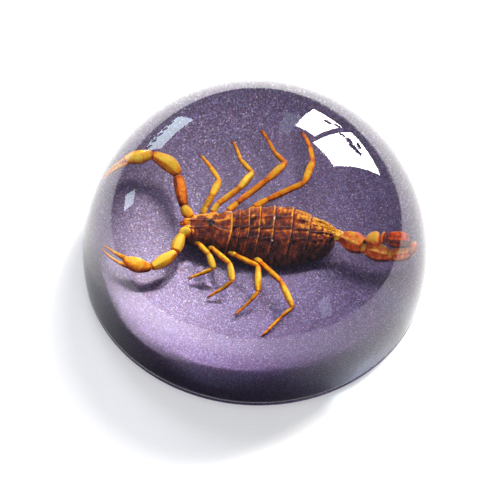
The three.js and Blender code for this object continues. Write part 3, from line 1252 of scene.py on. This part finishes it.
# Dry membrane and painted highlights: papery cream white with a faint fibre, the palest thing on the animal.
membrane_and_painted_glint = mottled(
    "membrane_and_painted_glint",
    FIBRE,
    [(0.3, "d8c8b4"), (0.6, "fbf4ea")],
    roughness=0.45,
    ior=CHITIN_IOR,
    specular_ior_level=0.3,
)
scrap_lumps = [limb(stations, 0.0, rings=14, sides=12) for stations in MEMBRANE_AND_GLINT_SCRAPS]
sculpt("membrane_and_glint_scraps", scrap_lumps, membrane_and_painted_glint)
print(len(scrap_lumps), "scraps")

# %% [markdown]
# ## Pincers
#
# A pedipalp has six parts: a short trochanter at the head, the femur, the patella, and the
# pincer's hand with one fixed finger and one that opens. Femur and patella are keeled. The hand
# is a smooth swollen bulb that runs out into the fixed finger.

# %% Bend the pincers
PALP_KEELS = ((55, 0.09), (125, 0.09), (180, 0.07), (0, 0.07), (270, 0.06))
FINGER_TONE = 0.62
RIGHT_PINCER = {
    # part: tone, stations
    "hip": (0.62, (-8.9, 4.4, 4.1, 0.8, 0.7), (-9.8, 4.8, 4.5, 0.7, 0.65)),
    "trochanter": (
        0.5,
        (-9.6, 4.7, 4.6, 0.55, 0.5), (-10.35, 5.55, 4.7, 0.85, 0.72),
        (-10.8, 6.6, 4.75, 0.6, 0.55),
    ),
    "femur": (
        0.84,
        (-10.8, 6.4, 4.75, 0.62, 0.58), (-11.15, 9.1, 4.8, 0.86, 0.72),
        (-11.5, 11.6, 4.8, 0.72, 0.64),
    ),
    "patella": (
        0.44,
        (-11.35, 11.7, 4.8, 0.62, 0.58), (-12.75, 13.45, 4.75, 1.15, 0.98),
        (-15.0, 15.05, 4.45, 0.6, 0.55),
    ),
    "hand": (
        0.44,
        (-14.8, 15.05, 4.4, 0.6, 0.55), (-16.9, 14.65, 4.35, 1.05, 0.92),
        (-18.3, 14.5, 4.3, 0.85, 0.75), (-19.5, 14.15, 4.2, 0.55, 0.5),
    ),
    "fixed finger": (
        FINGER_TONE,
        (-18.6, 14.55, 4.3, 0.5, 0.46), (-20.6, 13.85, 4.05, 0.34, 0.32),
        (-22.2, 13.1, 3.9, 0.22, 0.2), (-23.6, 12.2, 3.8, 0.08, 0.08),
    ),
    "moving finger": (
        FINGER_TONE,
        (-18.6, 13.95, 4.15, 0.46, 0.42), (-20.5, 13.3, 4.0, 0.32, 0.3),
        (-22.2, 12.6, 3.9, 0.2, 0.2), (-23.8, 11.6, 3.8, 0.08, 0.08),
    ),
}
LEFT_PINCER = {
    "hip": (0.62, (-9.0, 2.5, 4.1, 0.8, 0.7), (-10.0, 2.2, 4.5, 0.7, 0.65)),
    "trochanter": (
        0.42,
        (-9.9, 2.3, 4.5, 0.55, 0.5), (-10.75, 1.95, 4.7, 0.86, 0.75),
        (-11.3, 1.2, 4.7, 0.58, 0.55),
    ),
    "femur": (
        0.16,
        (-11.25, 1.5, 4.7, 0.6, 0.56), (-11.85, -0.3, 4.8, 0.9, 0.78),
        (-12.4, -1.9, 4.8, 0.72, 0.64),
    ),
    "patella": (
        0.26,
        (-12.3, -2.0, 4.8, 0.62, 0.58), (-14.5, -3.75, 4.65, 1.02, 0.92),
        (-16.5, -5.05, 4.4, 0.6, 0.56),
    ),
    "hand": (
        0.6,
        (-16.3, -5.1, 4.4, 0.55, 0.55), (-18.6, -4.7, 4.3, 1.32, 1.1),
        (-20.2, -4.2, 4.25, 1.12, 0.95), (-21.4, -3.6, 4.2, 0.6, 0.55),
    ),
    "fixed finger": (
        FINGER_TONE,
        (-20.0, -3.75, 4.25, 0.55, 0.5), (-22.0, -2.7, 4.1, 0.36, 0.36),
        (-23.6, -1.6, 3.95, 0.22, 0.22), (-24.9, -0.6, 3.85, 0.08, 0.08),
    ),
    "moving finger": (
        FINGER_TONE,
        (-20.2, -4.9, 4.15, 0.5, 0.46), (-22.3, -4.1, 4.0, 0.32, 0.32),
        (-24.2, -2.7, 3.9, 0.2, 0.2), (-25.5, -1.2, 3.8, 0.07, 0.07),
    ),
}


def palp_part(name, tone, *stations):
    """One part of a pincer. Only femur and patella have keels."""
    keels = PALP_KEELS if name in ("femur", "patella") else ()
    return limb(stations, tone, rings=44, sides=32, keels=keels, beads=0.4, round_share=0.08)


for side, pincer in (("right", RIGHT_PINCER), ("left", LEFT_PINCER)):
    palp_lumps = [palp_part(name, *part) for name, part in pincer.items()]
    palp = sculpt(f"pincer_{side}", palp_lumps, amber_cuticle)
print("pincers are", len(palp.data.polygons), "faces each")

# %% [markdown]
# ## Legs
#
# Each of the eight legs has a hip in the belly, a trochanter, femur, patella, tibia, two foot
# joints and a pair of claws. A leg is a wire of short straight runs, one for each joint, and a
# Geometry Nodes tree sweeps an oval skin along every run, as thick as the wire says.

# %% Set the legs
LEGS = {
    # tone, hip, then the ends of trochanter, femur, patella, tibia and the two foot joints
    "right_1": (
        0.16, (-7.9, 6.0, 4.0), (-7.6, 6.8, 4.2), (-6.7, 8.5, 4.8), (-5.6, 11.3, 4.5),
        (-6.7, 14.0, 3.4), (-7.35, 15.1, 2.95), (-7.8, 15.9, 2.6),
    ),
    "right_2": (
        0.16, (-6.5, 6.4, 4.0), (-5.8, 7.5, 4.2), (-2.8, 9.9, 5.0), (-0.9, 12.9, 4.4),
        (-2.6, 15.3, 3.4), (-3.1, 17.0, 2.85), (-3.5, 18.1, 2.5),
    ),
    "right_3": (
        0.32, (-4.2, 6.7, 4.0), (-3.0, 7.9, 4.2), (1.1, 11.5, 5.0), (3.6, 14.7, 4.4),
        (2.0, 16.5, 3.6), (1.0, 18.6, 2.85), (0.2, 19.9, 2.4),
    ),
    "right_4": (
        0.3, (-0.4, 7.7, 3.9), (1.3, 8.8, 4.1), (6.5, 11.4, 5.0), (7.3, 15.2, 4.4),
        (6.6, 17.7, 3.4), (5.95, 19.0, 2.9), (5.4, 19.8, 2.5),
    ),
    "left_1": (
        0.08, (-9.0, 1.5, 3.2), (-8.5, 0.65, 3.65), (-7.1, -2.2, 4.9), (-6.3, -4.4, 4.4),
        (-8.3, -4.7, 3.2), (-9.1, -4.85, 2.8), (-9.7, -5.0, 2.5),
    ),
    "left_2": (
        0.14, (-6.9, 0.8, 3.2), (-6.4, -0.15, 3.65), (-3.8, -3.8, 5.0), (-3.4, -6.7, 4.4),
        (-4.6, -7.3, 3.4), (-5.8, -7.9, 2.8), (-6.7, -8.3, 2.3),
    ),
    "left_3": (
        0.2, (-3.9, 0.0, 3.1), (-2.9, -1.15, 3.65), (0.6, -4.0, 5.0), (0.8, -8.5, 4.2),
        (-0.2, -9.5, 3.4), (-1.4, -10.6, 2.6), (-2.5, -11.6, 2.2),
    ),
    "left_4": (
        0.24, (-0.3, -0.6, 3.0), (1.0, -2.15, 3.55), (4.4, -6.8, 4.9), (6.6, -11.2, 4.0),
        (4.9, -12.4, 3.0), (2.8, -14.9, 2.1), (2.1, -15.7, 1.8),
    ),
}
LEG_JOINTS = (
    # half thickness at the start, in the swollen part and at the end, and tone
    (0.42, 0.48, 0.40, 0.25),
    (0.38, 0.47, 0.43, 0.42),
    (0.40, 0.56, 0.38, 0.26),
    (0.31, 0.35, 0.28, 0.36),
    (0.26, 0.27, 0.23, 0.42),
    (0.23, 0.23, 0.15, 0.55),
)
CLAW = (0.1, 0.09, 0.04, 0.95)
CLAW_LENGTH, CLAW_SPREAD, CLAW_DROP = 0.42, 0.2, 0.12
RUN_STEPS = 24
JOINT_OVERLAP = 0.16
LEG_SIDES, LEG_OVAL = 16, 0.85


def unit(vector):
    """The same direction, one long."""
    return vector / np.linalg.norm(vector)


def leg_runs(joints):
    """Straight runs from joint to joint, and the two claws: (start, end, thickness and tone)."""
    joints = [np.array(joint) for joint in joints]
    runs = list(zip(joints, joints[1:], LEG_JOINTS))
    tip, foot = joints[-1], joints[-1] - joints[-2]
    beside = unit(np.cross(foot, (0, 0, 1.0)))
    foot = unit(foot)
    for side in (-1, 1):
        claw_end = tip + foot * CLAW_LENGTH + beside * side * CLAW_SPREAD - np.array((0, 0, CLAW_DROP))
        runs.append((tip - foot * 0.1 + beside * side * 0.05, claw_end, CLAW))
    return runs


def leg_wire(name, tone_shift, *joints):
    """The wire of one leg: a run of points for each joint, with its thickness and tone."""
    points, edges, thick, tones = [], [], [], []
    share = np.linspace(0, 1, RUN_STEPS)
    for start, end, (first, swollen, final, tone) in leg_runs(joints):
        reach = JOINT_OVERLAP * unit(end - start)
        start, end = start - reach, end + reach
        girth = curve([(first,), (swollen * 0.98,), (swollen,), (final,)], RUN_STEPS)[:, 0]
        edges += [(len(points) + step, len(points) + step + 1) for step in range(RUN_STEPS - 1)]
        points += list(start + np.outer(share, end - start))
        thick += list(girth * round_ends(share, 0.08, smallest=0.02) * MM)
        tones += list(tones_along(share, tone + tone_shift))
    return wire(name, points, edges, {"thickness": thick, "tone": tones})


# %% Grow the legs
leg_tree, given = node_tree("swept_limb", {"Sides": "Int", "Oval": "Float", "Material": "Material"})
path = add(leg_tree, "GeometryNodeMeshToCurve", {"Mesh": (given, "Geometry")})
path = add(leg_tree, "GeometryNodeSetCurveNormal", {"Curve": path}, mode="Z_UP")
circle = {"Resolution": (given, "Sides"), "Radius": 1.0}
circle = add(leg_tree, "GeometryNodeCurvePrimitiveCircle", circle)
squash = add(leg_tree, "ShaderNodeCombineXYZ", {"X": 1.0, "Y": (given, "Oval"), "Z": 1.0})
oval = add(leg_tree, "GeometryNodeTransform", {"Geometry": circle, "Scale": squash})
thickness = add(leg_tree, "GeometryNodeInputNamedAttribute", {"Name": "thickness"}, data_type="FLOAT")
sweep = {"Curve": path, "Profile Curve": oval, "Scale": (thickness, "Attribute"), "Fill Caps": True}
skin = add(leg_tree, "GeometryNodeCurveToMesh", sweep)
close_tree(leg_tree, add(leg_tree, "GeometryNodeSetShadeSmooth", {"Geometry": skin}), given)

hip_lumps = []
for name, (tone, *joints) in LEGS.items():
    source = leg_wire(f"wire_{name}", tone, *joints)
    leg_sizes = {"Sides": LEG_SIDES, "Oval": LEG_OVAL, "Material": amber_cuticle}
    leg = grow(f"leg_{name}", source, leg_tree, leg_sizes)
    bpy.data.objects.remove(source)
    finish_piece(leg, None)
    hip = np.array(joints[0])
    inner = np.array((hip[0] * 0.75 - 1.3, 3.2 + 0.25 * (hip[1] - 3.2), 3.1))
    middle = (hip + inner) / 2 - (0, 0, 0.1)
    stations = [(*inner, 0.6, 0.5), (*middle, 0.85, 0.7), (*hip, 0.6, 0.55)]
    hip_lumps.append(limb(stations, 0.45, rings=20, sides=16))
sculpt("leg_hips", hip_lumps, amber_cuticle)
print(len(hip_lumps), "legs of", len(leg.data.polygons), "faces each")
